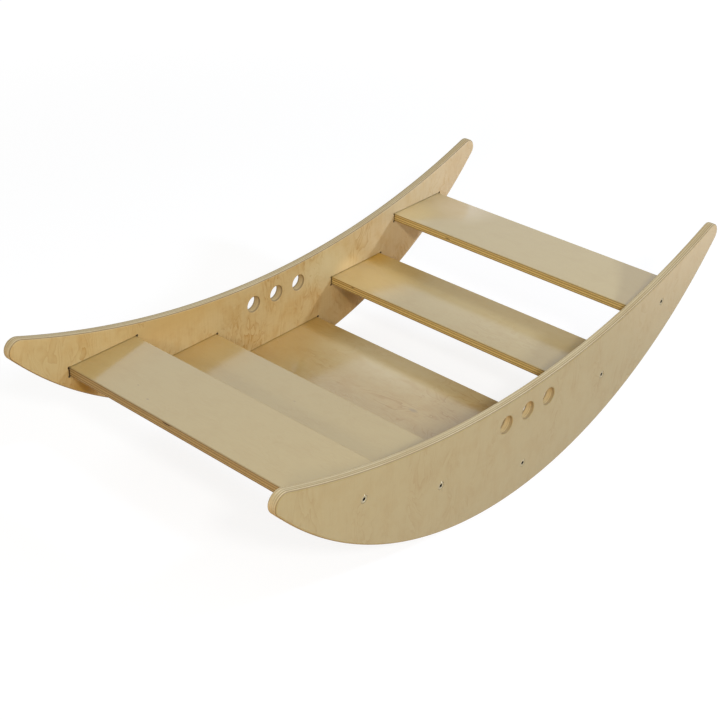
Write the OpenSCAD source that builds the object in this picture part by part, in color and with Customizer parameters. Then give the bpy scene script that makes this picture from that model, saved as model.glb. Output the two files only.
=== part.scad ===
// Wooden rocker arch for a nursery: two crescent side panels joined by five slats.
// It rocks on the curved undersides of the panels. Turned over it stands as a small stepped arch.
// Millimetres. X runs along the length, Y across the width and Z up.
// The origin is on the floor, midway between the panels, under the middle slat.

/* [Side panels] */
// Length of the rocker from tip to tip
overall_length = 858; // [760:2:960]
// Clear width between the side panels
clear_width = 402; // [240:2:600]
// Radius of the curved underside
rocker_radius = 568; // [520:2:640]
// Height of a side panel at mid-length
panel_height = 142.5; // [128:0.5:160]
// Radius of the rounded tips
tip_radius = 14; // [8:0.5:20]
// Thickness of the plywood of the side panels
panel_thickness = 12; // [9:0.5:18]
// Radius routed along the edges of the side panels
panel_edge_radius = 2.5; // [1:0.25:4]

/* [Slats] */
// Thickness of the plywood of the slats
slat_thickness = 12; // [9:0.5:15]
// Width of the middle slat
middle_slat_width = 166; // [120:1:190]
// Width of the lower slats
lower_slat_width = 105; // [80:1:115]
// Width of the upper slats
upper_slat_width = 103; // [80:1:115]
// Distance along the length from the middle slat to a lower slat, centre to centre
lower_slat_x = 164; // [156:1:174]
// Distance along the length from the middle slat to an upper slat, centre to centre
upper_slat_x = 297; // [288:1:310]
// Height of the middle slat's top above the curved underside
middle_slat_rise = 44; // [30:0.5:70]
// Height of a lower slat's top above the curved underside, at the slat's centre
lower_slat_rise = 72.5; // [55:0.5:95]
// Height of an upper slat's top above the curved underside, at the slat's centre
upper_slat_rise = 66; // [58:0.5:74]
// Radius sanded along the long edges of a slat
slat_edge_radius = 1.5; // [0.5:0.25:3]

/* [Housings] */
// Depth of the housings in the panels that hold the slat ends
housing_depth = 4; // [2:0.5:6]
// Gap between a slat's long edge and the end of its housing
housing_end_gap = 1; // [0.5:0.1:2]
// Gap above and below a slat in its housing
housing_fit = 0.1; // [0.05:0.05:0.5]
// Diameter of the cutter that clears the corners of a housing
corner_cutter_d = 4; // [3:0.5:6]

/* [Finger holes] */
// Number of finger holes in each side panel
finger_hole_count = 3; // [1:1:5]
// Diameter of a finger hole
finger_hole_d = 22; // [18:0.5:30]
// Distance between finger holes, centre to centre
finger_hole_pitch = 43; // [36:1:55]
// Distance from the panel's top edge, at mid-length, down to the finger holes' centres
finger_hole_drop = 29; // [22:0.5:40]
// Chamfer round the mouths of a finger hole
finger_hole_chamfer = 1; // [0.5:0.25:2]

/* [Screws] */
// Length of a screw from the top of its head to its point
screw_length = 50; // [40:1:70]
// Diameter of a screw head
screw_head_d = 10; // [9:0.5:12]
// Height of the straight rim of a screw head
screw_rim_h = 0.8; // [0.5:0.1:1.5]
// Height of the cone under the rim of a screw head
screw_cone_h = 1.6; // [1:0.1:2.5]
// Diameter of the smooth neck of a screw
screw_neck_d = 7; // [6:0.1:8]
// Mean diameter of the threaded part of a screw
screw_thread_d = 5.8; // [4:0.1:6]
// Height of a screw's point
screw_point_h = 4; // [2:0.5:6]
// Width across the flats of the hexagon socket
socket_width = 4; // [3:0.5:5]
// Depth of the hexagon socket
socket_depth = 3; // [2:0.5:4]
// Distance of a screw head below the outer face of the panel
screw_sink = 0.2; // [0:0.1:1]
// Gap round a screw in its hole
screw_fit = 0.1; // [0.05:0.05:0.3]
// Empty depth of a pilot hole beyond the screw's point
pilot_relief = 2; // [1:0.5:5]

/* [Hidden] */
$fn = 64;
SLAT_NAMES = ["upper_left", "lower_left", "middle", "lower_right", "upper_right"];
SIDE_NAMES = ["front", "back"];
LAST_SLAT = len(SLAT_NAMES) - 1;

// Straight facets along a panel's underside or saddle, round its tip, and across its routed edge
CURVE_STEPS = 60;
TIP_STEPS = 12;
EDGE_STEPS = 3;
// How far a cutting shape runs past the face that it opens
OVERSHOOT = 1;

// The tip's circle touches the underside's arc from inside and the saddle's arc from outside
tip_x = overall_length / 2 - tip_radius;
tip_z = underside_z(tip_x, tip_radius);
tip_rise = tip_z - panel_height;
saddle_radius = (pow(tip_x, 2) + pow(tip_rise, 2) - pow(tip_radius, 2)) / (2 * (tip_rise + tip_radius));
saddle_z = panel_height + saddle_radius;
underside_end = atan2(tip_z - rocker_radius, tip_x);
saddle_end = atan2(tip_z - saddle_z, tip_x);

// Each slat, from left to right
slat_x = [-upper_slat_x, -lower_slat_x, 0, lower_slat_x, upper_slat_x];
slat_rise = [upper_slat_rise, lower_slat_rise, middle_slat_rise, lower_slat_rise, upper_slat_rise];
slat_width = [upper_slat_width, lower_slat_width, middle_slat_width, lower_slat_width, upper_slat_width];
slat_z = [for (i = [0 : LAST_SLAT]) underside_z(slat_x[i], 0) + slat_rise[i] - slat_thickness / 2];
slat_length = clear_width + 2 * housing_depth;
housing_height = slat_thickness + 2 * housing_fit;

panel_outer_y = clear_width / 2 + panel_thickness;
screw_top_y = panel_outer_y - screw_sink;
screw_head_h = screw_rim_h + screw_cone_h;
pilot_end_y = screw_top_y - screw_length - pilot_relief;
finger_hole_z = panel_height - finger_hole_drop;

// Height of the curved underside at x, moved inwards by inset
function underside_z(x, inset) = rocker_radius - sqrt(pow(rocker_radius - inset, 2) - pow(x, 2));

// Points of an arc from angle a to angle b, without the last one
function arc(x, z, r, a, b, steps) =
    [for (i = [0 : steps - 1]) let (t = a + (b - a) * i / steps) [x + r * cos(t), z + r * sin(t)]];

// Outline of a side panel, moved inwards by inset: underside, right tip, saddle and left tip
function panel_outline(inset) = concat(
    arc(0, rocker_radius, rocker_radius - inset, -180 - underside_end, underside_end, CURVE_STEPS),
    arc(tip_x, tip_z, tip_radius - inset, underside_end, 180 + saddle_end, TIP_STEPS),
    arc(0, saddle_z, saddle_radius + inset, saddle_end, -180 - saddle_end, CURVE_STEPS),
    arc(-tip_x, tip_z, tip_radius - inset, -saddle_end, 180 - underside_end, TIP_STEPS)
);

// Depth below the nearer face, and inset, of each step across a routed edge
function edge_step(i) =
    let (a = 90 * i / EDGE_STEPS) [panel_edge_radius * (1 - cos(a)), panel_edge_radius * (1 - sin(a))];

// A panel's blank with its edges routed round, lying with its outer face on the XY plane
module panel_blank() {
    steps = [for (i = [0 : EDGE_STEPS]) edge_step(i)];
    levels = concat(steps, [for (i = [EDGE_STEPS : -1 : 0]) [panel_thickness - steps[i][0], steps[i][1]]]);
    points = [for (level = levels) for (p = panel_outline(level[1])) [p[0], p[1], level[0]]];
    count = len(panel_outline(0));
    last = (len(levels) - 1) * count;
    sides = [
        for (k = [0 : len(levels) - 2])
            for (i = [0 : count - 1])
                let (j = (i + 1) % count)
                    [k * count + i, (k + 1) * count + i, (k + 1) * count + j, k * count + j]
    ];
    // Each flat face is a strip of four-sided pieces between underside and saddle, and the two tips
    saddle_left = count - TIP_STEPS;
    strip = [for (i = [0 : CURVE_STEPS - 1]) [i, i + 1, saddle_left - i - 1, saddle_left - i]];
    right_tip = [for (i = [CURVE_STEPS : CURVE_STEPS + TIP_STEPS]) i];
    left_tip = [for (i = [saddle_left : count]) i % count];
    outer_face = concat(strip, [right_tip, left_tip]);
    inner_face = [for (f = outer_face) [for (i = [len(f) - 1 : -1 : 0]) last + f[i]]];
    polyhedron(points, concat(outer_face, inner_face, sides));
}

// The blind slot that holds the end of slat i, its corners cleared by a round cutter
module housing(i) {
    length = slat_width[i] + 2 * housing_end_gap;
    corner_x = length / 2 - corner_cutter_d / 4;
    corner_y = housing_height / 2 - corner_cutter_d / 4;
    translate([slat_x[i], slat_z[i], panel_thickness - housing_depth])
        linear_extrude(housing_depth + OVERSHOOT)
            union() {
                square([length, housing_height], center = true);
                for (x = [-corner_x, corner_x], y = [-corner_y, corner_y])
                    translate([x, y]) circle(d = corner_cutter_d);
            }
}

// The countersunk hole for the screw of slat i
module screw_hole(i) {
    rim_depth = screw_sink + screw_rim_h;
    translate([slat_x[i], slat_z[i], 0]) {
        translate([0, 0, -OVERSHOOT])
            cylinder(d = screw_head_d + 2 * screw_fit, h = rim_depth + OVERSHOOT);
        translate([0, 0, rim_depth])
            cylinder(d1 = screw_head_d, d2 = screw_neck_d, h = screw_cone_h);
        cylinder(d = screw_neck_d + 2 * screw_fit, h = panel_thickness);
    }
}

// A finger hole, centred on x, with chamfered mouths
module finger_hole(x) {
    mouth_d = finger_hole_d + 2 * finger_hole_chamfer;
    far_mouth = panel_thickness - finger_hole_chamfer;
    translate([x, finger_hole_z, 0]) {
        translate([0, 0, -OVERSHOOT]) cylinder(d = finger_hole_d, h = panel_thickness + 2 * OVERSHOOT);
        cylinder(d1 = mouth_d, d2 = finger_hole_d, h = finger_hole_chamfer);
        translate([0, 0, far_mouth]) cylinder(d1 = finger_hole_d, d2 = mouth_d, h = finger_hole_chamfer);
    }
}

// Side 0 is the front and side 1 the back: the two panels are one part, turned end for end
module on_side(side) {
    rotate([0, 0, side == 0 ? 180 : 0]) children();
}

module side_panel(side) {
    color("burlywood")
        on_side(side)
            translate([0, panel_outer_y, 0])
                rotate([90, 0, 0])
                    difference() {
                        panel_blank();
                        for (i = [0 : LAST_SLAT]) {
                            housing(i);
                            screw_hole(i);
                        }
                        for (n = [0 : finger_hole_count - 1])
                            finger_hole((n - (finger_hole_count - 1) / 2) * finger_hole_pitch);
                    }
}

// Cross-section of slat i, with its long edges rounded
module slat_section(i) {
    flat_w = slat_width[i] - 2 * slat_edge_radius;
    flat_h = slat_thickness - 2 * slat_edge_radius;
    square([slat_width[i], flat_h], center = true);
    square([flat_w, slat_thickness], center = true);
    for (x = [-flat_w / 2, flat_w / 2], y = [-flat_h / 2, flat_h / 2])
        translate([x, y]) circle(slat_edge_radius);
}

module slat(i) {
    pilot_depth = slat_length / 2 - pilot_end_y;
    color("wheat")
        translate([slat_x[i], 0, slat_z[i]])
            difference() {
                rotate([90, 0, 0])
                    translate([0, 0, -slat_length / 2]) linear_extrude(slat_length) slat_section(i);
                for (side = [0, 1])
                    on_side(side)
                        translate([0, pilot_end_y, 0])
                            rotate([-90, 0, 0])
                                cylinder(d = screw_thread_d + 2 * screw_fit, h = pilot_depth + OVERSHOOT);
            }
}

// A screw standing on its head, the top of the head on the XY plane
module screw_body() {
    neck_end = panel_thickness - housing_depth - screw_sink;
    point_start = screw_length - screw_point_h;
    socket_d = socket_width / cos(30);
    difference() {
        union() {
            cylinder(d = screw_head_d, h = screw_rim_h);
            translate([0, 0, screw_rim_h])
                cylinder(d1 = screw_head_d, d2 = screw_neck_d, h = screw_cone_h);
            translate([0, 0, screw_head_h]) cylinder(d = screw_neck_d, h = neck_end - screw_head_h);
            translate([0, 0, neck_end]) cylinder(d = screw_thread_d, h = point_start - neck_end);
            translate([0, 0, point_start]) cylinder(d1 = screw_thread_d, d2 = 0, h = screw_point_h);
        }
        translate([0, 0, -OVERSHOOT]) cylinder(d = socket_d, h = socket_depth + OVERSHOOT, $fn = 6);
    }
}

module screw(side, i) {
    mirror_x = side == 0 ? -1 : 1;
    color("silver")
        on_side(side)
            translate([mirror_x * slat_x[i], screw_top_y, slat_z[i]]) rotate([90, 0, 0]) screw_body();
}

for (side = [0, 1]) {
    side_panel(side);
    for (i = [0 : LAST_SLAT])
        screw(side, i);
}
for (i = [0 : LAST_SLAT])
    slat(i);
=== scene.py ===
# %% [markdown]
# # A rocker arch for the nursery, in birch plywood
# Two crescent side panels hold five slats, set like the steps of a small bridge.
# Each slat end sits in a shallow housing and is pulled tight by one countersunk screw.
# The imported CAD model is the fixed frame. Every piece below is cut again in its place,
# with the small roundings and the wood that a workshop gives it.

# %% The frame
import math

import bmesh
import bpy
from mathutils import Matrix, Vector


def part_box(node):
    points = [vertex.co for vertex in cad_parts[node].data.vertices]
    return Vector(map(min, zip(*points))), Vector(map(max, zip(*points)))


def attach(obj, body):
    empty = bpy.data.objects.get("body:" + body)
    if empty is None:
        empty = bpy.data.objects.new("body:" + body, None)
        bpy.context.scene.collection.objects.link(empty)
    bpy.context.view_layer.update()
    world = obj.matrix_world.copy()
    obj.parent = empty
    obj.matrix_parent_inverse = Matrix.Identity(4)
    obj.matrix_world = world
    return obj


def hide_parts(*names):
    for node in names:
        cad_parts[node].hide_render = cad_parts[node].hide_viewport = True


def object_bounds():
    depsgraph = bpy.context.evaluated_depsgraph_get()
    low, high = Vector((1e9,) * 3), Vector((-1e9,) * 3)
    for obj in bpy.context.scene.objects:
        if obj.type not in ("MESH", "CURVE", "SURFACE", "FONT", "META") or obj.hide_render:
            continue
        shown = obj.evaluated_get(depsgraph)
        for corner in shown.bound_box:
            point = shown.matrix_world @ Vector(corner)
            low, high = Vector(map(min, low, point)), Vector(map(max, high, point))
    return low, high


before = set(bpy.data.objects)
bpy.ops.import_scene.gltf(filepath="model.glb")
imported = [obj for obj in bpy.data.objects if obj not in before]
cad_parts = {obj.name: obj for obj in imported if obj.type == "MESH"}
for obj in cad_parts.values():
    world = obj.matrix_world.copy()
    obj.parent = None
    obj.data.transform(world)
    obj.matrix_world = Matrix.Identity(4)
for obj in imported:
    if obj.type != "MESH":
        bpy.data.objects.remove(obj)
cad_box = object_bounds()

MM = 0.001
SLATS = ["upper_left", "lower_left", "middle", "lower_right", "upper_right"]
SIDES = ["front", "back"]
print("CAD box", [[round(x, 4) for x in corner] for corner in cad_box])

# %% [markdown]
# ## Writing node trees as sums
# Geometry and materials are both trees of nodes, and a tree with a hundred nodes is hard to read
# when each link is a line. So a small class wraps a socket: adding or multiplying two of them
# puts a Math node between them. Every other node is made by one method, `add`, which takes the
# node's type, its settings, and then what goes into its sockets. A node that only takes values,
# such as an output, is made by it too.

# %% A wire


class Wire:
    """A socket that gives a value, so that sums of sockets read like sums of numbers."""

    def __init__(self, graph, node, out=0):
        self.graph, self.node = graph, node
        self.socket = node.outputs[out] if node.outputs else None

    def out(self, name):
        return Wire(self.graph, self.node, name)

    def math(self, operation, *others):
        values = dict(enumerate((self,) + others))
        return self.graph.add("ShaderNodeMath", {"operation": operation}, values)

    def __add__(self, other):
        return self.math("ADD", other)

    def __sub__(self, other):
        return self.math("SUBTRACT", other)

    def __rsub__(self, other):
        return self.graph.add("ShaderNodeMath", {"operation": "SUBTRACT"}, {0: other, 1: self})

    def __mul__(self, other):
        return self.math("MULTIPLY", other)

    def __truediv__(self, other):
        return self.math("DIVIDE", other)

    def __rtruediv__(self, other):
        return self.graph.add("ShaderNodeMath", {"operation": "DIVIDE"}, {0: other, 1: self})

    def __neg__(self):
        return self * -1.0

    def __lt__(self, other):
        return self.math("LESS_THAN", other)

    def __gt__(self, other):
        return self.math("GREATER_THAN", other)

    __radd__ = __add__
    __rmul__ = __mul__

    def clamped(self):
        return self.math("MAXIMUM", 0.0).math("MINIMUM", 1.0)

    def step(self, low, high):
        """0 below low, 1 above high, and a smooth slope between them."""
        return self.graph.add(
            "ShaderNodeMapRange", {"interpolation_type": "SMOOTHSTEP"},
            {"Value": self, "From Min": low, "From Max": high})


print("a wire adds, multiplies and compares")

# %% [markdown]
# A tree could be filled with one line for each node and one more for each link. Here a node's
# sockets are given as a dictionary instead, with a number, a wire, or a list of wires for each,
# so a node and all that goes into it stand in one place.

# %% A graph


class Graph:
    """A node tree that is filled by calls of one method."""

    def __init__(self, tree):
        self.tree = tree

    def add(self, kind, settings=None, values=None, out=0):
        node = self.tree.nodes.new(kind)
        for name, setting in (settings or {}).items():
            setattr(node, name, setting)
        for key, value in (values or {}).items():
            self.fill(node.inputs[key], value)
        return Wire(self, node, out)

    def fill(self, socket, value):
        for one in value if isinstance(value, list) else [value]:
            if isinstance(one, Wire):
                self.tree.links.new(one.socket, socket)
            else:
                socket.default_value = one

    def vector(self, x, y, z):
        return self.add("ShaderNodeCombineXYZ", None, {0: x, 1: y, 2: z})

    def split(self, vector):
        parts = self.add("ShaderNodeSeparateXYZ", None, {0: vector})
        return parts, parts.out(1), parts.out(2)

    def vector_math(self, operation, *vectors, out=0):
        values = dict(enumerate(vectors))
        return self.add("ShaderNodeVectorMath", {"operation": operation}, values, out)

    def blend(self, factor, a, b, how="MIX"):
        """Colour a where factor is 0, and b where it is 1."""
        settings = {"data_type": "RGBA", "blend_type": how}
        a, b = [(*c, 1.0) if isinstance(c, tuple) else c for c in (a, b)]
        return self.add("ShaderNodeMix", settings, {0: factor, 6: a, 7: b}, out=2)

    def noise(self, vector, detail=2.0, roughness=0.5, distortion=0.0, scale=1.0):
        return self.add("ShaderNodeTexNoise", None, {
            "Vector": vector, "Scale": scale, "Detail": detail,
            "Roughness": roughness, "Distortion": distortion})


def emptied(owner):
    """The node tree of a new material or world, with nothing in it yet."""
    owner.use_nodes = True
    owner.node_tree.nodes.clear()
    return Graph(owner.node_tree)


print("a graph adds nodes and links them")

# %% [markdown]
# ## Camera
# The photograph looks down on the arch from its left front corner. Setting the camera by eye
# never quite matches, so its place, lens and shift were worked out from the panels' ends and the
# slats' corners, which show in both pictures.

# %% Camera
camera_place = Vector((-1.220888, -0.978651, 1.036852))
look_back = Vector((-0.667494, -0.566477, 0.483275)).normalized()
ROLL = -0.0345247
level_right = look_back.cross(Vector((0, 0, 1))).normalized() * -1
level_down = level_right.cross(look_back)
right = math.cos(ROLL) * level_right + math.sin(ROLL) * level_down
down = -math.sin(ROLL) * level_right + math.cos(ROLL) * level_down

lens_data = bpy.data.cameras.new("camera")
lens_data.lens = 71.596
lens_data.sensor_width = 36.0
lens_data.shift_x = 0.0035
lens_data.shift_y = -0.0779
lens_data.clip_start, lens_data.clip_end = 0.05, 60.0
camera = bpy.data.objects.new("camera", lens_data)
axes = Matrix((right, -down, look_back)).transposed()
camera.matrix_world = Matrix.Translation(camera_place) @ axes.to_4x4()
bpy.context.scene.collection.objects.link(camera)
bpy.context.scene.camera = camera
print("camera", [round(x, 3) for x in camera_place], "lens", lens_data.lens)

# %% [markdown]
# ## The white room
# The photograph was taken with white all around, and most of its soft light comes from the white
# paper behind the arch. A picture of a room could be wrapped round the scene, but two plain tones
# do the same and need no file: a weak warm one in front, a strong white one behind, and a soft
# change between them. The camera and the lacquer see the room as an even white.

# %% The room
FRONT_LIGHT, BACK_LIGHT = 0.28, 0.72
FRONT_TINT = (1, 0.88, 0.66, 1)
WHITE = (1, 1, 1, 1)
SOFT_CHANGE = 0.3


def seen_directly(graph):
    """1 for rays from the camera, and for those that a shiny surface sends on."""
    path = graph.add("ShaderNodeLightPath")
    glossy = path.out("Is Glossy Ray")
    through = path.out("Is Transmission Ray")
    return path.out("Is Camera Ray").math("MAXIMUM", glossy).math("MAXIMUM", through)


world = bpy.data.worlds.new("white_room")
g = emptied(world)
_, towards_back, _ = g.split(g.add("ShaderNodeTexCoord", out="Generated"))
front = g.add("ShaderNodeBackground", None, {"Color": FRONT_TINT, "Strength": FRONT_LIGHT})
back = g.add("ShaderNodeBackground", None, {"Color": WHITE, "Strength": BACK_LIGHT})
behind = towards_back.step(-SOFT_CHANGE, SOFT_CHANGE)
room = g.add("ShaderNodeMixShader", None, {0: behind, 1: front, 2: back})
backdrop = g.add("ShaderNodeBackground", None, {"Color": WHITE, "Strength": 1.0})
sky = g.add("ShaderNodeMixShader", None, {0: seen_directly(g), 1: room, 2: backdrop})
g.add("ShaderNodeOutputWorld", None, {"Surface": sky})
bpy.context.scene.world = world
print("room light", FRONT_LIGHT, "from the front and", BACK_LIGHT, "from behind")

# %% [markdown]
# ## The lamps
# Three lamps stand in front: one beside the camera, which draws the dark wedges under the slats'
# left ends, one far to the right, a little cooler, which draws the long shadows on the far panel,
# and a weak low one on the left, which parts each step from the next. A point of light would cut
# those shadows sharply, so each lamp is a disk, and its width sets how soft they are.

# %% Three lamps
LAMP_AIM = Vector((0, 0, 0.1))
# Name, place, width, watts and tint
LAMPS = [
    ("right_lamp", Vector((1.86, -2.05, 1.60)), 0.30, 40.0, (0.84, 1.0, 1.34)),
    ("left_lamp", Vector((-1.25, -1.65, 1.60)), 0.26, 24.0, (1.0, 1.0, 1.0)),
    ("low_lamp", Vector((-1.93, -1.25, 1.22)), 0.26, 12.0, (1.0, 1.0, 1.0))]
for title, lamp_place, width, watts, tint in LAMPS:
    lamp_data = bpy.data.lights.new(title, "AREA")
    lamp_data.shape = "DISK"
    lamp_data.size = width
    lamp_data.energy = watts
    lamp_data.color = tint
    lamp = bpy.data.objects.new(title, lamp_data)
    lamp.location = lamp_place
    lamp.rotation_euler = (lamp_place - LAMP_AIM).to_track_quat("Z", "Y").to_euler()
    bpy.context.scene.collection.objects.link(lamp)
    print(title, watts, "W")

# %% [markdown]
# ## The floor
# The arch stands on white paper. The camera sees soft shadows on it, and the undersides of the
# slats catch a warm light from it, because in the photograph wood all around tints that light.
# One paper can't do both, so its material asks what kind of ray has met it. Far from the arch it
# glows a little more, so that it meets the white room with no horizon.

# %% A sheet of paper
WARM_PAPER = (0.80, 0.52, 0.24, 1)
PAPER = 0.20
NEAR_GLOW, FAR_GLOW = 1.02 - 0.9 * PAPER, 1.11 - 0.9 * PAPER
GLOW_STARTS, GLOW_FULL = 0.9, 2.6
FLOOR_REACH, FLOOR_HEIGHT = 8.0, -0.0002

paper = bpy.data.materials.new("white_paper")
g = emptied(paper)
matt = g.add("ShaderNodeBsdfDiffuse", None, {"Color": WARM_PAPER})
pale = g.add("ShaderNodeBsdfDiffuse", None, {"Color": (PAPER, PAPER, PAPER, 1)})
away = g.vector_math("LENGTH", g.add("ShaderNodeTexCoord", out="Object"), out="Value")
glow = g.blend(away.step(GLOW_STARTS, GLOW_FULL), (NEAR_GLOW,) * 3, (FAR_GLOW,) * 3)
lift = g.add("ShaderNodeEmission", None, {"Color": glow, "Strength": 1.0})
lifted = g.add("ShaderNodeAddShader", None, {0: pale, 1: lift})
sheet = g.add("ShaderNodeMixShader", None, {0: seen_directly(g), 1: matt, 2: lifted})
g.add("ShaderNodeOutputMaterial", None, {"Surface": sheet})

corners = [(-1, -1), (1, -1), (1, 1), (-1, 1)]
floor_mesh = bpy.data.meshes.new("floor")
floor_mesh.from_pydata(
    [(FLOOR_REACH * x, FLOOR_REACH * y, FLOOR_HEIGHT) for x, y in corners], [], [(0, 1, 2, 3)])
floor_mesh.materials.append(paper)
floor = bpy.data.objects.new("floor", floor_mesh)
bpy.context.scene.collection.objects.link(floor)
print("floor", 2 * FLOOR_REACH, "m wide")

# %% [markdown]
# ## Birch plywood
# Birch plywood is nine thin sheets, each with its grain across the one before. On a broad face
# only the outer sheet shows: pale, peeled from the log in one long ribbon, so that its growth
# rings lie in wide flames along the grain. On a cut edge the sheets show as stripes: a sheet that
# is cut along its grain is pale, one that is cut across it shows open pores and is darker, with
# a hair of brown glue between them and here and there a small hollow.
#
# One recipe does all of it, because it reads a point of the board itself: how far across the
# grain, how far along it, and how deep below the face. Each piece carries that as an attribute,
# called board, so that no two pieces show the same stretch of veneer. A photograph of plywood
# laid over the pieces would smear on the edges, where this recipe shows the sheets.

# %% Tones of the plywood
PANEL_TONES = {
    "plain": (0.365, 0.302, 0.148), "figured": (0.548, 0.395, 0.172),
    "hole wall": (0.560, 0.430, 0.220), "long grain": (0.622, 0.525, 0.335),
    "end grain": (0.511, 0.425, 0.248), "glue": (0.190, 0.130, 0.060)}
SLAT_TONES = {
    "plain": (0.420, 0.315, 0.124), "figured": (0.440, 0.310, 0.118),
    "hole wall": (0.540, 0.345, 0.120), "long grain": (0.680, 0.500, 0.185),
    "end grain": (0.580, 0.400, 0.135), "glue": (0.140, 0.070, 0.020)}
FLAME_TINT = (0.94, 0.83, 0.64)
RING_TINT = (0.70, 0.55, 0.32)
STREAK_TINT = (0.90, 0.86, 0.80)
DARK_TINT = (0.88, 0.82, 0.74)
HOLLOW_SHADE = (0.06, 0.034, 0.014)
PIN_AND_EDGE_SHADE = (0.25, 0.18, 0.09)
print("tones for", ", ".join(PANEL_TONES))

# %% [markdown]
# ## Painted light and shade, and marks of its own
# In the photograph a face is paler or warmer here and there than the lamps make it, and the
# boards have a few pins and hollows of their own. Each is a soft oval at its place in the board,
# in millimetres. A zone reaches less far than the board is thick, so it lies on one face only.
# Most zones paint light, shade and reflections into the colour; the hollows and one slat's outer
# edge carry painted shade.

# %% Zones of painted light and shade, holes, hollows and pins
THICKNESS = 12.0
PANEL_SHIFT, SLAT_SHIFT = 2000.0, 1000.0
PAINTED_LIGHT_END = (0.640, 0.525, 0.335)
CALM_END_COOL_LIGHT = (0.490, 0.385, 0.185)
PAINTED_WARM_LIGHT_FACE = (0.520, 0.350, 0.128)
PAINTED_LIGHT_FACE = (0.600, 0.475, 0.240)
PAINTED_LIGHT_POOL = (0.720, 0.540, 0.260)
PAINTED_SHADOW_WEDGE = (0.360, 0.205, 0.028)
PALE_SLAT = (0.455, 0.345, 0.142)
PAINTED_LIGHT_UNDER_STEP = (0.583, 0.477, 0.264)
PAINTED_LIGHT_FAR_END = (0.600, 0.480, 0.290)
PAINTED_WARM_REFLECTION_END = (0.500, 0.315, 0.085)
OCHRE_LIT = (0.640, 0.455, 0.175)
FAR_LIT = (0.640, 0.495, 0.235)
PAINTED_REFLECTION_SPOT = (0.620, 0.370, 0.060)

# Each zone: its tone, the depth of its face, and its middle and half sizes, across and along
OUTER, INNER, TOP = 0.0, THICKNESS, 0.0
ZONE_DEPTH = 9.0
PANEL_ZONES = [
    # Painted light: paler towards the right ends, on the far panel's inner face and the near
    # panel's outer face
    (PAINTED_LIGHT_END, INNER, (440.0, 200.0), (400.0, 400.0)),
    (PAINTED_LIGHT_END, OUTER, (1600.0, 420.0), (400.0, 400.0)),
    # Painted cooler light at the far panel's left end, where the figure is also calmer
    (CALM_END_COOL_LIGHT, INNER, (-405.0, 160.0), (125.0, 100.0)),
    # Painted warm light high on the far panel's inner face, left of the middle
    (PAINTED_WARM_LIGHT_FACE, INNER, (-170.0, 152.0), (150.0, 38.0)),
    # Painted light on the far panel's inner face, over and beside the left end of the lower right
    # slat
    (PAINTED_LIGHT_FACE, INNER, (95.0, 120.0), (75.0, 45.0)),
    # Painted pool of light on the far panel, just above the lower right slat
    (PAINTED_LIGHT_POOL, INNER, (146.0, 101.0), (40.0, 24.0)),
    # Painted shadow wedges on the far panel, under the upper left and the lower right slat
    (PAINTED_SHADOW_WEDGE, INNER, (-326.0, 118.0), (30.0, 30.0)),
    (PAINTED_SHADOW_WEDGE, INNER, (156.0, 62.0), (46.0, 42.0))]
SLAT_ZONES = [
    (PALE_SLAT, TOP, (4000.0, 0.0), (400.0, 3000.0)),
    # Painted light in the shaded strip under the step above, on the lower right slat
    (PAINTED_LIGHT_UNDER_STEP, TOP, (3060.0, -40.0), (110.0, 300.0)),
    # Painted light at the far end of the upper right slat
    (PAINTED_LIGHT_FAR_END, TOP, (4036.0, 150.0), (75.0, 75.0)),
    # Painted light in the shaded strip under the step above, on the middle slat
    (PAINTED_LIGHT_UNDER_STEP, TOP, (2062.0, 60.0), (70.0, 200.0)),
    # Painted warm reflection and bounce light of the far panel on the slats' far ends, fading
    # towards the upper right slat
    (PAINTED_WARM_REFLECTION_END, TOP, (1500.0, 215.0), (2450.0, 120.0)),
    (OCHRE_LIT, TOP, (2985.0, 155.0), (110.0, 80.0)),
    (FAR_LIT, TOP, (3962.0, 190.0), (65.0, 55.0)),
    # Painted warm reflection of the far panel in the far corner of the lower right slat
    (PAINTED_REFLECTION_SPOT, TOP, (3042.0, 208.0), (48.0, 50.0))]

# Each mark: its middle and its half sizes, across, along and deep
HOLE_WALLS = [
    ((shift + middle, 113.5, 6.0), (16.0, 16.0, 300.0))
    for shift in (0.0, PANEL_SHIFT) for middle in (-43.0, 0.0, 43.0)]
HOLLOWS = [
    ((-51.5, 33.0, 1.9), (3.0, 8.0, 0.8)), ((3948.5, 103.0, 6.1), (3.0, 5.0, 0.6)),
    ((2947.5, 162.0, 2.3), (3.0, 4.0, 0.5))]
PINS_AND_EDGE_SHADE = [
    ((-33.7, 84.2, 0.0), (1.8, 3.0, 2.0)), ((-21.2, 114.4, 0.0), (1.3, 2.2, 2.0)),
    # The second mark on the next line is no pin: painted shade along the whole outer edge of the
    # upper left slat
    ((1005.8, 17.6, 0.0), (1.4, 2.4, 2.0)), ((-51.5, 60.0, 6.0), (2.5, 700.0, 60.0)),
    ((1990.1, -49.4, 0.0), (5.0, 9.0, 2.0))]
print(len(PANEL_ZONES), "zones on the panels and", len(SLAT_ZONES), "on the slats")

# %% [markdown]
# ## Where a point lies
# The board's own place tells which of the nine sheets a point is in, whether that sheet is
# crossed, and whether the point is deeper than the outer sheet, which makes it a cut edge. So no
# face has to be picked by hand, and the colour changes on the rounded rim where the real
# router has cut through the outer sheet.

# %% Reading the board
TO_MM = (1 / MM,) * 3
PLY = 1.48
OUTER_SHEET = THICKNESS / 2 - 3.5 * PLY


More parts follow.
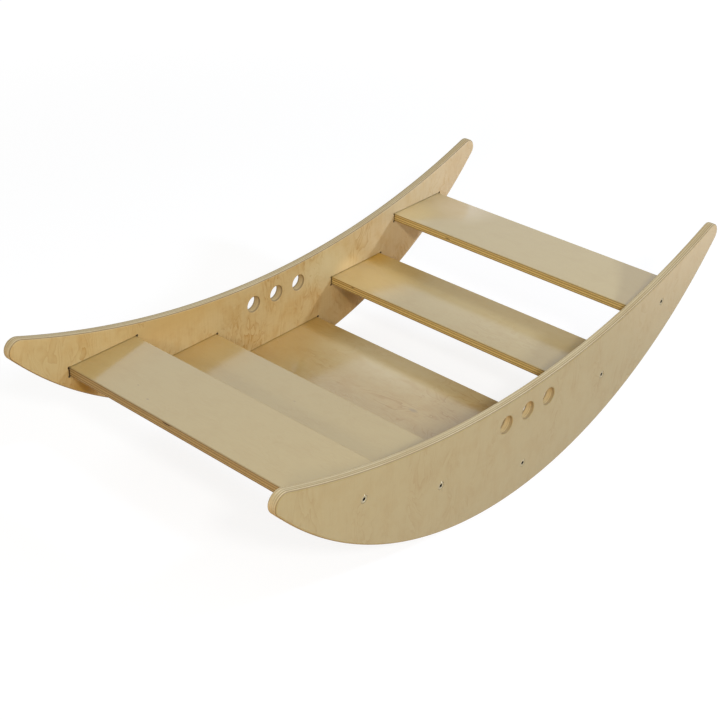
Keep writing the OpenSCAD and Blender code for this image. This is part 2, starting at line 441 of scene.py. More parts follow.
class Board:
    """A point's place across (u), along (v) and deep (w) in its board, and its sheet."""

    def __init__(self, g):
        self.g = g
        board = g.add("ShaderNodeAttribute", {"attribute_name": "board"}, out="Vector")
        self.place = g.vector_math("MULTIPLY", board, TO_MM)
        self.u, self.v, self.w = g.split(self.place)
        # 0 is the middle sheet, -4 and 4 the two outer ones
        self.level = (self.w - THICKNESS / 2) / PLY
        self.sheet = self.level.math("ROUND").math("MAXIMUM", -4.0).math("MINIMUM", 4.0)
        self.crossed = self.sheet.math("ABSOLUTE").math("MODULO", 2.0)
        self.depth = self.w.math("MINIMUM", THICKNESS - self.w)
        self.inside = self.depth.step(OUTER_SHEET - 0.15, OUTER_SHEET + 0.05)

    def spots(self, marks):
        """Where oval marks lie: 1 in the middle of one, and 0 outside them all."""
        total = self.g.add("ShaderNodeMath", None, {0: 0.0, 1: 0.0})
        for middle, half in marks:
            near = self.g.vector_math("SUBTRACT", self.place, middle)
            near = self.g.vector_math("DIVIDE", near, half)
            near = 1.0 - self.g.vector_math("LENGTH", near, out="Value")
            total = total.math("MAXIMUM", near)
        return total

    def grain(self, across, along, deep, *settings):
        """Noise that changes at these rates per millimetre, across and along the grain."""
        return self.g.noise(self.g.vector(self.u * across, self.v * along, deep), *settings)


def tinted(g, factor, colour, tint):
    """The colour, multiplied by a tint where factor is 1."""
    return g.blend(factor.clamped(), colour, tint, "MULTIPLY")


print("outer sheet", round(OUTER_SHEET, 2), "mm; the others", PLY, "mm")

# %% [markdown]
# ## The cut edge
# A sheet shows long fibres where the cut runs along its grain, and open pores where it crosses
# it. The direction that the surface faces decides which: it is compared with the grain of the
# sheet, so the stripes change places round the curve of a panel, as on the real one. The glue is
# a brown hair between two sheets. A few lines are darker, where the photograph shows them.

# %% Glue and fibres
GLUE_WIDTH, GLUE_STRENGTH, GLUE_STARTS = 0.16, 0.45, 0.4
# Darker glue lines: their depth and how dark they are
PANEL_LINES = [(0.9, 0.75), (3.1, 0.6), (5.4, 0.35), (11.2, 0.8)]
SLAT_LINES = [(1.0, 0.75), (3.8, 0.85), (7.7, 0.8), (10.2, 0.8)]
HOLE_LIP, HOLE_LIP_STRENGTH = 1.9, 0.6
FINE, DRAWN_OUT, DEEP = 1.6, 0.05, 2.2


def glue_lines(board, dark_lines, in_hole):
    """How much of the glue shows at a point."""
    in_sheet = (board.level - board.sheet).math("ABSOLUTE")
    glue = in_sheet.step(0.5 - GLUE_WIDTH / PLY, 0.5)
    glue = glue * (board.depth > GLUE_STARTS) * GLUE_STRENGTH
    for line_depth, strength in dark_lines:
        off_line = (board.w - line_depth).math("ABSOLUTE")
        glue = glue.math("MAXIMUM", (1.0 - off_line.step(0.25, 0.55)) * strength)
    lip = 1.0 - (board.depth - HOLE_LIP).math("ABSOLUTE").step(0.35, 0.90)
    return glue.math("MAXIMUM", in_hole * lip * HOLE_LIP_STRENGTH)


def cut_edge(g, board, grain_axis, tones, in_hole):
    """The colour of the cut edge, and its fibres."""
    facing = g.split(g.add("ShaderNodeNewGeometry", out="True Normal"))
    across_grain, along_grain = (facing[axis].math("ABSOLUTE") for axis in (0, grain_axis))
    end = across_grain * board.crossed + along_grain * (1.0 - board.crossed)
    lengthways = g.vector(board.u * FINE, board.v * DRAWN_OUT, board.w * DEEP)
    crossways = g.vector(board.u * DRAWN_OUT, board.v * FINE, board.w * DEEP)
    own_way = g.add("ShaderNodeMix", {"data_type": "VECTOR"},
                    {0: board.crossed, 4: lengthways, 5: crossways}, out=1)
    fibre = g.noise(own_way, 3.0, 0.6)
    sheet_tone = board.grain(0.010, 0.010, board.sheet * 7.3, 1.0)
    edge = g.blend(end.step(0.15, 0.85), tones["long grain"], tones["end grain"])
    edge = tinted(g, (fibre - 0.42) * 3.0, edge, DARK_TINT)
    edge = tinted(g, sheet_tone.step(0.45, 0.62) * 0.7, edge, DARK_TINT)
    return g.blend(in_hole, edge, tones["hole wall"]), fibre


print("glue lines", GLUE_WIDTH, "mm wide")

# %% [markdown]
# ## The peeled face
# Peeling cuts the growth rings at a shallow angle, so on the face they are wide and wander. A
# noise stretched along the grain, cut into steps, gives such rings, and another noise bends them
# first. Over them lie patches, fine streaks, soft clouds, a slight curl across the grain, and
# pores. The figure of a piece says how strongly all of it shows: the far panel is the liveliest.

# %% Flames, streaks and clouds
RING_COUNT = 11.0


def peeled_face(g, board, tones, zones):
    """The colour of a broad face, with the streaks and pores that the lacquer follows."""
    figure = g.add("ShaderNodeAttribute", {"attribute_name": "figure"}, out="Fac")
    wander = board.grain(0.020, 0.012, 11.0)
    bent = g.vector(board.u * 0.036 + wander * 1.6, board.v * 0.0105, board.w * 0.1)
    rings = (g.noise(bent, 3.0, 0.55, 0.6) * RING_COUNT).math("FRACT")
    ring_mark = rings.math("POWER", 4.0)
    patch = board.grain(0.022, 0.010, 7.0)
    streak = board.grain(0.55, 0.022, board.w, 3.0, 0.6)
    cloud = board.grain(0.045, 0.030, 3.0, 3.0, 0.6)
    curl = board.grain(0.10, 0.26, 5.0, 3.0, 0.55, 0.8)
    pore = board.grain(2.6, 0.16, board.w)
    warm = rings * patch.step(0.40, 0.62) * 0.55 + cloud.step(0.42, 0.68) * 0.55
    face = g.blend(figure.step(0.5, 0.9), tones["plain"], tones["figured"])
    # Most zones paint light, shade and reflections into the face colour, and calm the figure under
    # them
    for tone, face_depth, middle, half in zones:
        in_zone = board.spots([((*middle, face_depth), (*half, ZONE_DEPTH))]).step(0.0, 0.9)
        face = g.blend(in_zone, face, tone)
        figure = figure * (1.0 - in_zone * 0.7)
    face = tinted(g, warm * figure, face, FLAME_TINT)
    face = tinted(g, ring_mark * patch.step(0.44, 0.60) * figure * 0.8, face, RING_TINT)
    face = tinted(g, (cloud - 0.48) * 1.2, face, STREAK_TINT)
    face = tinted(g, (streak - 0.45) * 1.6 * (0.3 + figure), face, STREAK_TINT)
    face = tinted(g, (curl - 0.50) * 2.2 * figure, face, STREAK_TINT)
    face = tinted(g, pore.step(0.62, 0.80) * 0.25, face, RING_TINT)
    return face, streak, pore


print("the face has", RING_COUNT, "steps of rings")

# %% [markdown]
# ## Wood under lacquer
# Face and edge come together in one material. A clear coat over the wood gives the lacquer: on
# the slats' broad faces it is bright and mirrors the far panel, on the panels it is satin, and
# the cut edges drink it up and stay dull. A single roughness for all would lose that.

# %% Two kinds of plywood
FLAT = 0.02
PIN_AND_EDGE_SHADE_STRENGTH, HOUSING_SHADE_STRENGTH = 0.65, 0.9


def plywood(name, grain_axis, tones, dark_lines, zones, lacquer, gloss, hole_walls=(),
            hollows=(), pins_and_edge_shade=(), hidden_from=999.0):
    """Plywood whose face grain follows the object's Y (grain_axis 1) or Z (grain_axis 2).
    Cut edges further along the board than hidden_from are down in a housing, and get painted shade,
    as the housings' floors and walls do."""
    material = bpy.data.materials.new(name)
    g = emptied(material)
    board = Board(g)
    in_hole = board.spots(hole_walls).step(0.0, 0.05)
    glue = glue_lines(board, dark_lines, in_hole)
    edge, fibre = cut_edge(g, board, grain_axis, tones, in_hole)
    face, streak, pore = peeled_face(g, board, tones, zones)
    colour = g.blend(board.inside, face, edge)
    # Dark pins, and painted shade along one slat's outer edge
    colour = g.blend(board.spots(pins_and_edge_shade).step(0.0, 0.8) * PIN_AND_EDGE_SHADE_STRENGTH, colour, PIN_AND_EDGE_SHADE)
    colour = g.blend(glue, colour, tones["glue"])
    # Painted shade in the small hollows of the cut edges
    in_hollow = (board.spots(hollows) * board.inside).step(0.0, 0.25)
    colour = g.blend(in_hollow, colour, HOLLOW_SHADE)
    # Painted shade in the housings: their floors and walls, and the slats' cut edges down in them,
    # are darkened almost to black
    recess = g.add("ShaderNodeAttribute", {"attribute_name": "recess"}, out="Fac")
    hidden = (board.v.math("ABSOLUTE") > hidden_from) * board.inside
    hidden = recess.step(0.0, 0.5).math("MAXIMUM", hidden)
    colour = g.blend(hidden * HOUSING_SHADE_STRENGTH, colour, HOLLOW_SHADE)
    height = streak * 0.3 + pore * 0.2 + (fibre * 0.6 - glue * 0.6) * board.inside
    bump = g.add("ShaderNodeBump", None, {
        "Strength": 0.10, "Distance": 0.2 * MM, "Height": height})
    shader = g.add("ShaderNodeBsdfPrincipled", None, {
        "Base Color": colour, "Normal": bump,
        "Roughness": 0.50 + board.inside * 0.50, "Specular IOR Level": 0.25,
        "Coat Weight": lacquer(board), "Coat Roughness": gloss[0], "Coat IOR": gloss[1]})
    g.add("ShaderNodeOutputMaterial", None, {"Surface": shader})
    print(name, len(material.node_tree.nodes), "nodes")
    return material


def panel_lacquer(board):
    """Satin on the outer face; the inner face is rubbed down, and the cut edges are bare."""
    return 0.05 + 0.55 * (board.w < FLAT) - 0.05 * board.inside


def slat_lacquer(board):
    """Bright on the two broad faces, and dull on the rounded and cut edges."""
    flat = (board.w < FLAT).math("MAXIMUM", board.w > THICKNESS - FLAT)
    return 0.25 + 0.75 * flat - 0.15 * board.inside


panel_wood = plywood(
    "lacquered_panel_ply", 2, PANEL_TONES, PANEL_LINES, PANEL_ZONES,
    panel_lacquer, (0.30, 1.5), hole_walls=HOLE_WALLS)
# The slats' cut edges past 201 mm along are down in the housings, and get painted shade
slat_wood = plywood(
    "lacquered_slat_ply", 1, SLAT_TONES, SLAT_LINES, SLAT_ZONES,
    slat_lacquer, (0.15, 1.9), hollows=HOLLOWS, pins_and_edge_shade=PINS_AND_EDGE_SHADE, hidden_from=201.0)

# %% [markdown]
# ## Plated steel
# The screws are turned on a lathe and plated with zinc, which looks warm among so much wood. The
# heads show fine rings from the turning, drawn by a bump that follows the distance from the
# middle. The hexagon socket is dark, because little light finds its way down.

# %% The steel
STEEL, CLOUDED_STEEL = (0.46, 0.385, 0.240), (0.38, 0.315, 0.190)
DOWN_THE_SOCKET = (0.012, 0.010, 0.008)
SOCKET_REACH = 2.75


def plated_steel():
    material = bpy.data.materials.new("plated_steel")
    g = emptied(material)
    board = g.add("ShaderNodeAttribute", {"attribute_name": "board"}, out="Vector")
    x, y, depth = g.split(g.vector_math("MULTIPLY", board, TO_MM))
    radius = (x * x + y * y).math("SQRT")
    turning = g.noise(g.vector(radius * 9.0, depth * 9.0, 0.0))
    clouds = g.noise(board, 3.0, scale=400.0)
    in_socket = (radius < SOCKET_REACH) * depth.step(0.02, 0.30)
    colour = g.blend(clouds.step(0.35, 0.7) * 0.5, STEEL, CLOUDED_STEEL)
    # Painted shade: near black and barely metallic down the hexagon socket
    colour = g.blend(in_socket, colour, DOWN_THE_SOCKET)
    bump = g.add("ShaderNodeBump", None, {
        "Strength": 0.15, "Distance": 0.1 * MM, "Height": turning})
    shader = g.add("ShaderNodeBsdfPrincipled", None, {
        "Base Color": colour, "Metallic": 1.0 - in_socket * 0.8,
        "Roughness": 0.30 + turning * 0.12, "Normal": bump})
    g.add("ShaderNodeOutputMaterial", None, {"Surface": shader})
    print(material.name, len(material.node_tree.nodes), "nodes")
    return material


steel = plated_steel()

# %% [markdown]
# ## Cutting with closed lines
# A router follows closed lines on a board. The trees below do the same. A closed line is filled
# to make a flat face, and a short profile is swept along it to make the wall of the cut. The wall
# and the face share their points, so a merge at the end leaves one closed skin, with no slivers
# such as those that subtracting one solid from another leaves.

# %% Sweeping and filling


def new_tree(name, sizes):
    """A geometry tree with a named input for each size, given as (name, kind, value)."""
    tree = bpy.data.node_groups.new(name, "GeometryNodeTree")
    tree.interface.new_socket("Geometry", in_out="INPUT", socket_type="NodeSocketGeometry")
    tree.interface.new_socket("Geometry", in_out="OUTPUT", socket_type="NodeSocketGeometry")
    for title, kind, value in sizes:
        socket = tree.interface.new_socket(title, in_out="INPUT", socket_type="NodeSocket" + kind)
        if value is not None:
            socket.default_value = value
    g = Graph(tree)
    return g, g.add("NodeGroupInput")


def profile(g, *points):
    """A straight, three-part line through four points (out from the wall, into the board)."""
    values = {f"Point {number}": g.vector(x, depth * -1.0, 0.0)
              for number, (x, depth) in enumerate(points, 1)}
    loop = g.add("GeometryNodeCurvePrimitiveQuadrilateral", {"mode": "POINTS"}, values)
    return g.add("GeometryNodeSetSplineCyclic", None, {0: loop, "Cyclic": False})


def rounded(g, line, radius, steps):
    return g.add("GeometryNodeFilletCurve", {"mode": "POLY"}, {
        "Curve": line, "Count": steps, "Radius": radius, "Limit Radius": False})


def line_down(g, start, end):
    """A straight profile from one depth to another."""
    ends = {"Start": g.vector(0.0, start * -1.0, 0.0), "End": g.vector(0.0, end * -1.0, 0.0)}
    return g.add("GeometryNodeCurvePrimitiveLine", None, ends)


def sweep(g, loop, line):
    flat = g.add("GeometryNodeSetCurveNormal", {"mode": "Z_UP"}, {"Curve": loop})
    return g.add("GeometryNodeCurveToMesh", None, {"Curve": flat, "Profile Curve": line})


def join(g, *parts):
    return g.add("GeometryNodeJoinGeometry", None, {0: list(parts)})


def moved(g, thing, place=None, turn=None):
    values = {"Geometry": thing}
    if place is not None:
        values["Translation"] = place
    if turn is not None:
        values["Rotation"] = turn
    return g.add("GeometryNodeTransform", None, values)


def fill(g, depth, *loops):
    flat = g.add("GeometryNodeFillCurve", {"mode": "TRIANGLES"}, {"Curve": join(g, *loops)})
    return moved(g, flat, g.vector(0.0, 0.0, depth))


def circle(g, radius, steps=48):
    values = {"Resolution": steps, "Radius": radius}
    return g.add("GeometryNodeCurvePrimitiveCircle", None, values)


print("lines can be rounded, swept and filled")

# %% [markdown]
# ## From a tree to a plain mesh
# Each tree ends in the same way: the skin is merged, every point notes its place in the board,
# and the piece is stood up in its place. The modifier could stay on the piece, but a plain mesh
# can be measured: its open edges are counted, and printed with its volume beside its name.

# %% Finishing a piece
MERGE_WITHIN = 0.01 * MM
SHARP_ANGLE = math.radians(32)
CUBIC_CM = 1e6


def note_points(g, skin, kind, name, value):
    return g.add("GeometryNodeStoreNamedAttribute", {"data_type": kind, "domain": "POINT"},
                 {"Geometry": skin, "Name": name, "Value": value})


def finish_tree(g, skin, board, figure, place, turn, material, recess=0.0):
    """Merges the skin, notes each point's place in the board, and stands the piece in its place."""
    skin = g.add("GeometryNodeRealizeInstances", None, {0: skin})
    skin = g.add("GeometryNodeMergeByDistance", None, {0: skin, "Distance": MERGE_WITHIN})
    skin = note_points(g, skin, "FLOAT_VECTOR", "board", board)
    skin = note_points(g, skin, "FLOAT", "figure", figure)
    # The housing floors are noted, for painted shade in the material
    skin = note_points(g, skin, "FLOAT", "recess", recess)
    skin = moved(g, moved(g, skin, None, g.vector(math.pi / 2, 0.0, 0.0)), place, turn)
    skin = g.add("GeometryNodeRealizeInstances", None, {0: skin})
    skin = g.add("GeometryNodeSetMaterial", None, {0: skin, "Material": material})
    g.add("NodeGroupOutput", None, {0: skin})
    print(g.tree.name, len(g.tree.nodes), "nodes")
    return g.tree


def settle(piece, modifier):
    """Makes what the modifier shows the piece's own mesh."""
    graph = bpy.context.evaluated_depsgraph_get()
    mesh = bpy.data.meshes.new_from_object(
        piece.evaluated_get(graph), preserve_all_data_layers=True, depsgraph=graph)
    piece.modifiers.remove(modifier)
    before, piece.data = piece.data, mesh
    bpy.data.meshes.remove(before)
    mesh.name = piece.name
    return mesh


def cut_piece(name, tree, drawing, inputs):
    """Runs a tree on a drawing, with these inputs, and leaves the result as a plain mesh."""
    piece = bpy.data.objects.new(name, drawing)
    bpy.context.scene.collection.objects.link(piece)
    cut = piece.modifiers.new("cut", "NODES")
    cut.node_group = tree
    titles = {s.name: s.identifier for s in tree.interface.items_tree if s.in_out == "INPUT"}
    for title, value in inputs.items():
        cut[titles[title]] = value
    mesh = settle(piece, cut)
    skin = bmesh.new()
    skin.from_mesh(mesh)
    bmesh.ops.recalc_face_normals(skin, faces=skin.faces)
    open_edges = sum(1 for e in skin.edges if len(e.link_faces) != 2)
    volume = skin.calc_volume(signed=True)
    if volume < 0:
        bmesh.ops.reverse_faces(skin, faces=skin.faces)
    skin.to_mesh(mesh)
    skin.free()
    mesh.set_sharp_from_angle(angle=SHARP_ANGLE)
    for face in mesh.polygons:
        face.use_smooth = True
    print(name, len(mesh.polygons), "faces,", open_edges, "open edges,",
          round(abs(volume) * CUBIC_CM, 1), "cm3")
    return piece


def weigh_normals(piece):
    """Lets each broad flat face keep its own shading up to the rounded edge."""
    weigh = piece.modifiers.new("weigh", "WEIGHTED_NORMAL")
    weigh.keep_sharp = True
    weigh.weight = 100
    settle(piece, weigh)


print("points within", MERGE_WITHIN / MM, "mm are merged")

# %% [markdown]
# ## The side panels
# A side panel is a crescent. Its underside is one arc, the saddle above is a flatter one, and a
# small arc rounds each tip. All its edges are routed round. Three finger holes go through it,
# and five blind housings, one for each slat, are let into its inner face, each with a countersunk
# screw hole behind it. The corners of a housing are cleared by the round cutter, which leaves
# four small round ears.
#
# Nodes could draw these lines too, but arcs that have to meet are easier to work out in Python.
# So the closed lines are drawn first, on a flat board, as a mesh of edges on numbered layers.

# %% The drawing of a side panel
ROCKER_RADIUS = 568 * MM
PANEL_HEIGHT = 142.5 * MM
OVERALL_LENGTH = 858 * MM
TIP_RADIUS = 14 * MM
EDGE_RADIUS = 2.5 * MM
HOUSING_DEPTH = 4 * MM
HOUSING_END_GAP = 1.8 * MM
HOUSING_FIT = 0.9 * MM
CUTTER_RADIUS = 2 * MM
CURVE_STEPS, TIP_STEPS, EAR_STEPS = 96, 24, 14
EAR_START, EAR_SWEEP = -60, 210
OUTLINE, HOUSING, SCREW = 0, 1, 2

tip_x = OVERALL_LENGTH / 2 - TIP_RADIUS
tip_z = ROCKER_RADIUS - math.sqrt((ROCKER_RADIUS - TIP_RADIUS) ** 2 - tip_x ** 2)
tip_rise = tip_z - PANEL_HEIGHT
saddle_radius = (tip_x ** 2 + tip_rise ** 2 - TIP_RADIUS ** 2) / (2 * (tip_rise + TIP_RADIUS))
saddle_z = PANEL_HEIGHT + saddle_radius


def arc(x, z, radius, start, end, steps):
    """Points of an arc between two angles in degrees, without the last one."""
    angles = [math.radians(start + (end - start) * i / steps) for i in range(steps)]
    return [(x + radius * math.cos(a), z + radius * math.sin(a)) for a in angles]


def panel_outline(inset):
    """Underside, right tip, saddle and left tip, moved inwards by inset."""
    low = math.degrees(math.atan2(tip_z - ROCKER_RADIUS, tip_x))
    high = math.degrees(math.atan2(tip_z - saddle_z, tip_x))
    return (arc(0, ROCKER_RADIUS, ROCKER_RADIUS - inset, -180 - low, low, CURVE_STEPS)
            + arc(tip_x, tip_z, TIP_RADIUS - inset, low, 180 + high, TIP_STEPS)
            + arc(0, saddle_z, saddle_radius + inset, high, -180 - high, CURVE_STEPS)
            + arc(-tip_x, tip_z, TIP_RADIUS - inset, -high, 180 - low, TIP_STEPS))


def housing_outline(x, z, length, height):
    """A rectangle with a round ear at each corner, where the cutter cleared it."""
    points = []
    for quarter, (sx, sz) in enumerate(((1, 1), (-1, 1), (-1, -1), (1, -1))):
        ear_x = x + sx * (length / 2 - CUTTER_RADIUS / 2)
        ear_z = z + sz * (height / 2 - CUTTER_RADIUS / 2)
        start = EAR_START + 90 * quarter
        points += arc(ear_x, ear_z, CUTTER_RADIUS, start, start + EAR_SWEEP, EAR_STEPS)
        end = math.radians(start + EAR_SWEEP)
        points.append((ear_x + CUTTER_RADIUS * math.cos(end),
                       ear_z + CUTTER_RADIUS * math.sin(end)))
    return points


slat_boxes = {slat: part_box("slat_" + slat) for slat in SLATS}
slat_centre = {slat: (low + high) / 2 for slat, (low, high) in slat_boxes.items()}
slat_size = {slat: high - low for slat, (low, high) in slat_boxes.items()}


def panel_drawing():
    """The outline and the housings as closed lines, and a point for each screw."""
    corners, edges, layers = [], [], []
    loops = [(OUTLINE, panel_outline(EDGE_RADIUS))]
    for slat in SLATS:
        length = slat_size[slat].x + 2 * HOUSING_END_GAP
        height = slat_size[slat].z + 2 * HOUSING_FIT
        centre = slat_centre[slat]
        loops.append((HOUSING, housing_outline(centre.x, centre.z, length, height)))
    for layer, points in loops:
        first, count = len(corners), len(points)
        corners += [(x, z, 0.0) for x, z in points]
        edges += [(first + i, first + (i + 1) % count) for i in range(count)]
        layers += [layer] * count
    for slat in SLATS:
        corners.append((slat_centre[slat].x, slat_centre[slat].z, 0.0))
        layers.append(SCREW)
    mesh = bpy.data.meshes.new("panel_drawing")
    mesh.from_pydata(corners, edges, [])
    mesh.attributes.new("layer", "INT", "POINT").data.foreach_set("value", layers)
    return mesh


print("saddle radius", round(saddle_radius / MM, 1), "mm;",
      "tip centre", round(tip_z / MM, 1), "mm up")

# %% [markdown]
# ## Cutting a side panel
# The tree fills three flat faces: the outer one, the inner one, and the floors of the housings
# behind it. Swept profiles join them: a rounded one round the outline, an eased one in the finger
# holes, a cone and a neck for each screw, and a straight one round each housing. Every size has
# its own named input, so another rocker can be cut by the same tree.

# %% The tree that cuts a side panel
g, size = new_tree("cut_side_panel", [
    ("Thickness", "Float", 0.012), ("Edge Radius", "Float", 0.0025),
    ("Finger Holes", "Int", 3), ("Finger Hole Pitch", "Float", 0.043),
    ("Finger Hole Height", "Float", 0.1135), ("Finger Hole Radius", "Float", 0.011),
    ("Finger Hole Rim", "Float", 0.0017), ("Housing Depth", "Float", 0.004),
    ("Head Radius", "Float", 0.0051), ("Head Recess", "Float", 0.001),
    ("Neck Radius", "Float", 0.0036), ("Outer Face", "Float", 0.213),
    ("Turn", "Float", 0.0), ("Veneer Shift", "Float", 0.0), ("Figure", "Float", 1.0),
    ("Wood", "Material", None)])


def layer_lines(g, drawing, number):
    """Which points lie on one layer of the drawing, and the closed lines of that layer."""
    layer = g.add("GeometryNodeInputNamedAttribute", {"data_type": "INT"}, {"Name": "layer"})
    chosen = g.add("FunctionNodeCompare", {"data_type": "INT", "operation": "EQUAL"},
                   {2: layer, 3: number})
    return chosen, g.add("GeometryNodeMeshToCurve", None, {"Mesh": drawing, "Selection": chosen})


thickness, rim = size.out("Thickness"), size.out("Finger Hole Rim")
_, outline = layer_lines(g, size, OUTLINE)
_, housings = layer_lines(g, size, HOUSING)
at_screws, _ = layer_lines(g, size, SCREW)

mouth = circle(g, size.out("Finger Hole Radius") + rim)
pitch = size.out("Finger Hole Pitch")
first_x = (size.out("Finger Holes") - 1.0) * pitch * -0.5
row = g.add("GeometryNodeMeshLine", {"mode": "OFFSET", "count_mode": "TOTAL"}, {
    "Count": size.out("Finger Holes"),
    "Start Location": g.vector(first_x, size.out("Finger Hole Height"), 0.0),
    "Offset": g.vector(pitch, 0.0, 0.0)})


def set_out(g, points, thing, selection=True):
    """A copy of the thing at each selected point."""
    placed = g.add("GeometryNodeInstanceOnPoints", None,
                   {"Points": points, "Instance": thing, "Selection": selection})
    return g.add("GeometryNodeRealizeInstances", None, {0: placed})


mouths = set_out(g, row, mouth)
heads = set_out(g, size, circle(g, size.out("Head Radius")), at_screws)
necks = set_out(g, size, circle(g, size.out("Neck Radius")), at_screws)

edge_radius = size.out("Edge Radius")
square = profile(
    g, (0.0, 0.0), (edge_radius, 0.0), (edge_radius, thickness), (0.0, thickness))
routed = rounded(g, square, edge_radius, 6)
straight = profile(g, (0.0, 0.0), (-rim, 0.0), (-rim, thickness), (0.0, thickness))
eased = rounded(g, straight, rim, 5)
floor_depth = thickness - size.out("Housing Depth")
narrowing = size.out("Neck Radius") - size.out("Head Radius")
recess = size.out("Head Recess")
sunk = profile(
    g, (0.0, 0.0), (0.0, recess), (narrowing, recess - narrowing), (narrowing, floor_depth))

skin = join(
    g,
    fill(g, 0.0, outline, mouths, heads),
    fill(g, thickness, outline, mouths, housings),
    fill(g, floor_depth, housings, necks),
    sweep(g, outline, routed),
    sweep(g, mouths, eased),
    sweep(g, heads, sunk),
    sweep(g, housings, line_down(g, thickness, floor_depth)))
place = g.add("GeometryNodeInputPosition")
_, _, point_depth = g.split(place)
# Points on a housing floor, which the material darkens with painted shade
at_floor = (point_depth - floor_depth).math("ABSOLUTE") < 0.1 * MM
shift = g.vector(size.out("Veneer Shift"), 0.0, 0.0)
cut_side_panel = finish_tree(
    g, skin, g.vector_math("ADD", place, shift), size.out("Figure"),
    g.vector(0.0, size.out("Outer Face"), 0.0),
    g.vector(0.0, 0.0, size.out("Turn")), size.out("Wood"), at_floor)

# %% [markdown]
# The near panel is the same piece as the far one, turned round by half a turn. It is cut from
# another stretch of veneer, with a calmer figure.

# %% Both side panels
outer_y = cad_box[1][1]
panels = {}
for side in SIDES:
    back = side == "back"
    panels[side] = cut_piece("crescent_panel_" + side, cut_side_panel, panel_drawing(), {
        "Outer Face": outer_y if back else -outer_y,
        "Turn": 0.0 if back else math.pi,
        "Veneer Shift": 0.0 if back else PANEL_SHIFT * MM,
        "Figure": 1.0 if back else 0.40,
        "Edge Radius": EDGE_RADIUS, "Housing Depth": HOUSING_DEPTH, "Wood": panel_wood})
    weigh_normals(panels[side])

# %% [markdown]
# ## The slats
# Five slats are ripped from the same plywood, with their long edges sanded to a small round.
# A pilot hole for the screw is drilled into the middle of each end. A bevelled box would look
# the same, but a rounded section swept along the length keeps the pilot holes in the one skin.

# %% The tree that cuts a slat
g, size = new_tree("cut_slat", [
    ("Width", "Float", 0.103), ("Thickness", "Float", 0.012), ("Length", "Float", 0.41),
    ("Edge Radius", "Float", 0.0015), ("Pilot Radius", "Float", 0.003),
    ("Pilot Depth", "Float", 0.0442), ("Centre", "Vector", None),
    ("Veneer Shift", "Float", 0.0), ("Figure", "Float", 0.3), ("Wood", "Material", None)])
length, depth = size.out("Length"), size.out("Pilot Depth")
block = g.add("GeometryNodeCurvePrimitiveQuadrilateral", {"mode": "RECTANGLE"}, {
    "Width": size.out("Width"), "Height": size.out("Thickness")})
section = rounded(g, block, size.out("Edge Radius"), 5)
pilot = circle(g, size.out("Pilot Radius"), 32)
skin = join(
    g,
    fill(g, 0.0, section, pilot),
    fill(g, length, section, pilot),
    fill(g, depth, pilot),
    fill(g, length - depth, pilot),
    sweep(g, section, line_down(g, 0.0, length)),
    sweep(g, pilot, line_down(g, 0.0, depth)),
    sweep(g, pilot, line_down(g, length - depth, length)))
x, y, z = g.split(g.add("GeometryNodeInputPosition"))
board = g.vector(x + size.out("Veneer Shift"), length / 2.0 - z, size.out("Thickness") / 2.0 - y)
centre_x, centre_y, centre_z = g.split(size.out("Centre"))
cut_slat = finish_tree(
    g, skin, board, size.out("Figure"),
    g.vector(centre_x, centre_y + length / 2.0, centre_z), None, size.out("Wood"))

# %% [markdown]
# Each slat takes its size and place from its CAD solid, so it can't miss its housings.

# %% Five slats
SLAT_FIGURE = [0.12, 0.15, 0.75, 0.30, 0.15]
slats = {}
for number, slat in enumerate(SLATS):
    width, long, thick = slat_size[slat]
    slats[slat] = cut_piece("eased_slat_" + slat, cut_slat, bpy.data.meshes.new("blank"), {
        "Width": width, "Thickness": thick, "Length": long,
        "Centre": slat_centre[slat], "Veneer Shift": SLAT_SHIFT * MM * number,
        "Figure": SLAT_FIGURE[number], "Wood": slat_wood})
    weigh_normals(slats[slat])

# %% [markdown]
# ## The screws
# Ten long screws with countersunk heads hold the slats. A screw is a turned shape: each part of
# it is a profile swept round a circle, and the hexagon socket is a six-sided closed line, cut like
# the others. The thread could be cut out of the core, but a low ridge swept along a spiral looks
# the same from outside and can't leave a gap.

# %% The tree that turns a screw
g, size = new_tree("turn_screw", [
    ("Length", "Float", 0.050), ("Head Radius", "Float", 0.005), ("Head Rim", "Float", 0.0008),
    ("Neck Radius", "Float", 0.0035), ("Neck End", "Float", 0.0078),
    ("Core Radius", "Float", 0.0023), ("Thread Height", "Float", 0.0006),
    ("Thread Turns", "Float", 13.0), ("Point", "Float", 0.004),
    ("Socket Radius", "Float", 0.002309), ("Socket Depth", "Float", 0.003),
    ("Bevel", "Float", 0.0003), ("Socket Turn", "Float", 0.0), ("Centre", "Vector", None),
    ("Turn", "Float", 0.0), ("Metal", "Material", None)])
bevel, neck, core = size.out("Bevel"), size.out("Neck Radius"), size.out("Core Radius")
head, rim_depth, neck_end = size.out("Head Radius"), size.out("Head Rim"), size.out("Neck End")
length, point = size.out("Length"), size.out("Point")
socket_radius, socket_depth = size.out("Socket Radius"), size.out("Socket Depth")
cone_end = rim_depth + (head - neck)
thread_end = length - point
to_neck, to_core = neck - head + bevel, core - neck
TAPER, POINT_TIP = 1.0 * MM, 0.2 * MM

# The head, the neck and the point, each swept round its own circle, and the socket
top = circle(g, head - bevel)
turn_hexagon = g.vector(0.0, 0.0, size.out("Socket Turn"))
mouth = moved(g, circle(g, socket_radius + bevel, 6), None, turn_hexagon)
bottom = moved(g, circle(g, socket_radius, 6), None, turn_hexagon)
head_side = profile(g, (0.0, 0.0), (bevel, bevel), (bevel, rim_depth), (to_neck, cone_end))
neck_side = profile(
    g, (0.0, cone_end), (0.0, neck_end), (to_core, neck_end + TAPER), (to_core, thread_end))
point_side = profile(
    g, (0.0, thread_end), (core * -0.5, thread_end + point * 0.6),
    (core * -0.9, length - POINT_TIP), (-core, length))
socket_side = profile(
    g, (0.0, 0.0), (-bevel, bevel), (-bevel, socket_depth), (-bevel, socket_depth))

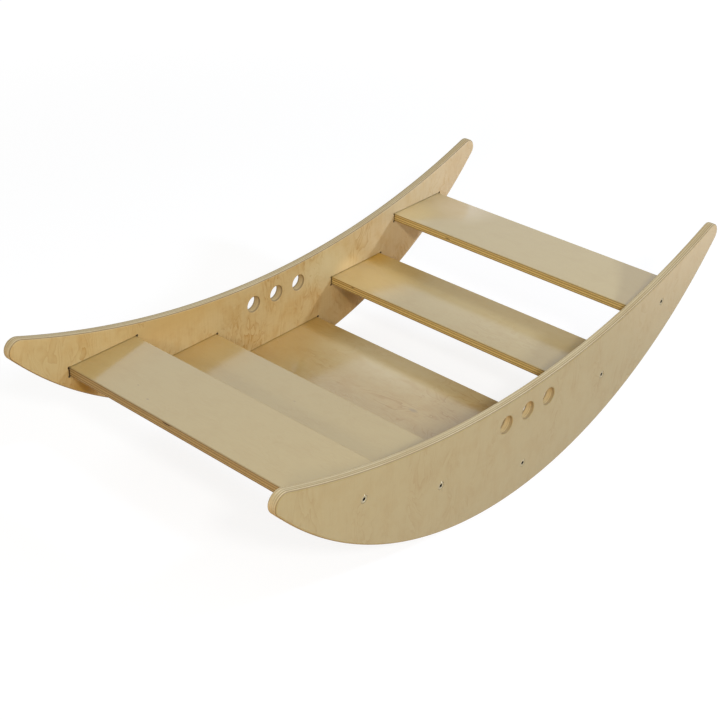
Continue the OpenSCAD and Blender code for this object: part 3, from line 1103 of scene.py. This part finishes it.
# The thread: a low ridge along a spiral, which runs out at both ends
RIDGE_FOOT, RIDGE_TOP, RIDGE_ROOT = 0.6 * MM, 0.06 * MM, -0.1 * MM
THREAD_GAP = 0.8 * MM
RUN_OUT = 14.0
thread_start = neck_end + THREAD_GAP
spiral = g.add("GeometryNodeCurveSpiral", None, {
    "Resolution": 24, "Rotations": size.out("Thread Turns"), "Start Radius": core,
    "End Radius": core, "Height": thread_end - thread_start})
spiral = moved(g, spiral, g.vector(0.0, 0.0, thread_start))
crest = size.out("Thread Height")
ridge = g.add("GeometryNodeCurvePrimitiveQuadrilateral", {"mode": "POINTS"}, {
    "Point 1": (RIDGE_ROOT, -RIDGE_FOOT, 0.0), "Point 2": g.vector(crest, -RIDGE_TOP, 0.0),
    "Point 3": g.vector(crest, RIDGE_TOP, 0.0), "Point 4": (RIDGE_ROOT, RIDGE_FOOT, 0.0)})
along = g.add("GeometryNodeSplineParameter", out="Factor")
run_out = (along * RUN_OUT).math("MINIMUM", (1.0 - along) * RUN_OUT).math("MINIMUM", 1.0)
upright = g.add("GeometryNodeSetCurveNormal", {"mode": "Z_UP"}, {"Curve": spiral})
thread = g.add("GeometryNodeCurveToMesh", None, {
    "Curve": upright, "Profile Curve": ridge, "Scale": run_out.math("MAXIMUM", 0.1),
    "Fill Caps": True})

skin = join(
    g,
    fill(g, 0.0, top, mouth),
    sweep(g, top, head_side),
    sweep(g, circle(g, neck), neck_side),
    sweep(g, circle(g, core), point_side),
    sweep(g, mouth, socket_side),
    fill(g, socket_depth, bottom),
    thread)
turn_screw = finish_tree(
    g, skin, g.add("GeometryNodeInputPosition"), 0.0, size.out("Centre"),
    g.vector(0.0, 0.0, size.out("Turn")), size.out("Metal"))

# %% [markdown]
# No two screws stop with their sockets at the same angle, so each has its own turn.

# %% Ten screws
SCREW_SINK = 0.2 * MM
SOCKET_TURNS = [12, 47, 31, 5, 22, 38, 3, 52, 17, 28]
screws = {}
for number, (side, slat) in enumerate((side, slat) for side in SIDES for slat in SLATS):
    back = side == "back"
    top_y = outer_y - SCREW_SINK
    name = f"plated_screw_{side}_{slat}"
    screws[side, slat] = cut_piece(name, turn_screw, bpy.data.meshes.new("blank"), {
        "Centre": Vector((slat_centre[slat].x, top_y if back else -top_y, slat_centre[slat].z)),
        "Turn": 0.0 if back else math.pi,
        "Socket Turn": math.radians(SOCKET_TURNS[number]), "Metal": steel})

# %% [markdown]
# ## The pieces on the frame
# Each piece stands for the CAD node of the same place and rides on the one body, because nothing
# in a screwed rocker moves by itself.

# %% Riding on the frame
for side in SIDES:
    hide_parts("side_panel_" + side)
    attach(panels[side], "root")
for slat in SLATS:
    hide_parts("slat_" + slat)
    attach(slats[slat], "root")
for (side, slat), screw in screws.items():
    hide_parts(f"screw_{side}_{slat}")
    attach(screw, "root")
print(len(panels), "panels,", len(slats), "slats and", len(screws), "screws ride on the frame")

# %% [markdown]
# ## White as white
# A view made for film would turn the paper grey and the wood dull, so the standard view shows the
# colours as they are.

# %% Colours
bpy.context.scene.view_settings.view_transform = "Standard"
